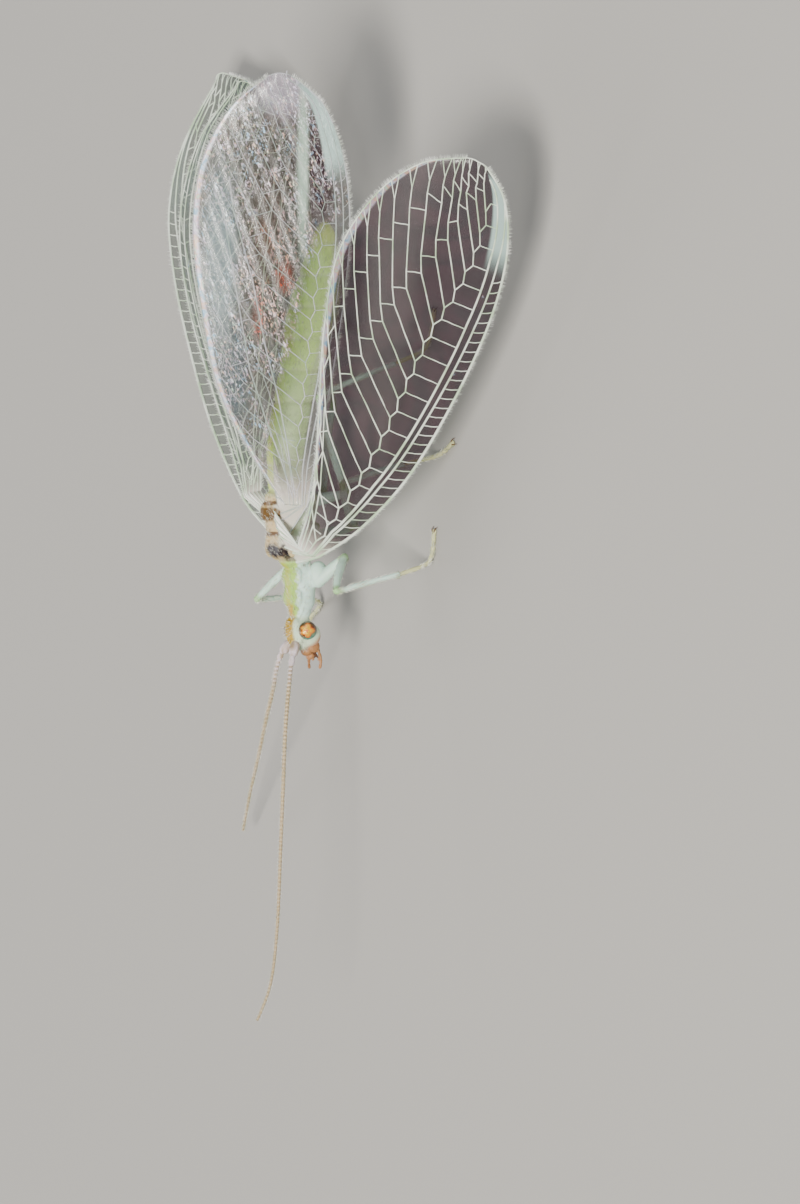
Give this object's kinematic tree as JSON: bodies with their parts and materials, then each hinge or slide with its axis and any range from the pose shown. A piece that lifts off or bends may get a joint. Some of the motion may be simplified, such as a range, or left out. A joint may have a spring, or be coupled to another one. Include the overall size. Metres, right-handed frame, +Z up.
{
  "type": "green lacewing",
  "caption": "Life-size still model of an adult green lacewing standing with clear veined wings half spread, long thread-like antennae and slender legs.",
  "frame": {"origin": "on the floor under the middle of the whole insect's outline", "axes": "+X towards the head, +Y to the insect's left, +Z up"},
  "size_m": [0.024, 0.017, 0.0064],
  "materials": {
    "body": "soft pale green cuticle with fine hairs",
    "thorax": "cream cuticle with brown patches",
    "limbs": "pale bluish green cuticle",
    "eyes": "metallic gold and teal facets",
    "mouthparts": "brownish pink cuticle",
    "antennae": "whitish beige, finely ringed",
    "wings": "clear iridescent membrane with pale veins"
  },
  "bodies": {
    "root": {"head": "body", "eye_left": "eyes", "eye_right": "eyes", "mouthparts": "mouthparts", "prothorax": "body", "mesothorax": "thorax", "metathorax": "thorax", "abdomen": "body", "abdomen_tip": "body", "leg_front_left_coxa": "limbs", "leg_front_left_femur": "limbs", "leg_front_left_tibia": "limbs", "leg_front_left_foot": "limbs", "leg_front_right_coxa": "limbs", "leg_front_right_femur": "limbs", "leg_front_right_tibia": "limbs", "leg_front_right_foot": "limbs", "leg_middle_left_coxa": "limbs", "leg_middle_left_femur": "limbs", "leg_middle_left_tibia": "limbs", "leg_middle_left_foot": "limbs", "leg_middle_right_coxa": "limbs", "leg_middle_right_femur": "limbs", "leg_middle_right_tibia": "limbs", "leg_middle_right_foot": "limbs", "leg_hind_left_coxa": "limbs", "leg_hind_left_femur": "limbs", "leg_hind_left_tibia": "limbs", "leg_hind_left_foot": "limbs", "leg_hind_right_coxa": "limbs", "leg_hind_right_femur": "limbs", "leg_hind_right_tibia": "limbs", "leg_hind_right_foot": "limbs", "antenna_left_scape": "antennae", "antenna_left_1": "antennae", "antenna_left_2": "antennae", "antenna_left_3": "antennae", "antenna_right_scape": "antennae", "antenna_right_1": "antennae", "antenna_right_2": "antennae", "antenna_right_3": "antennae", "forewing_left": "wings", "forewing_right": "wings", "hindwing_left": "wings", "hindwing_right": "wings"}
  },
  "joints": []
}
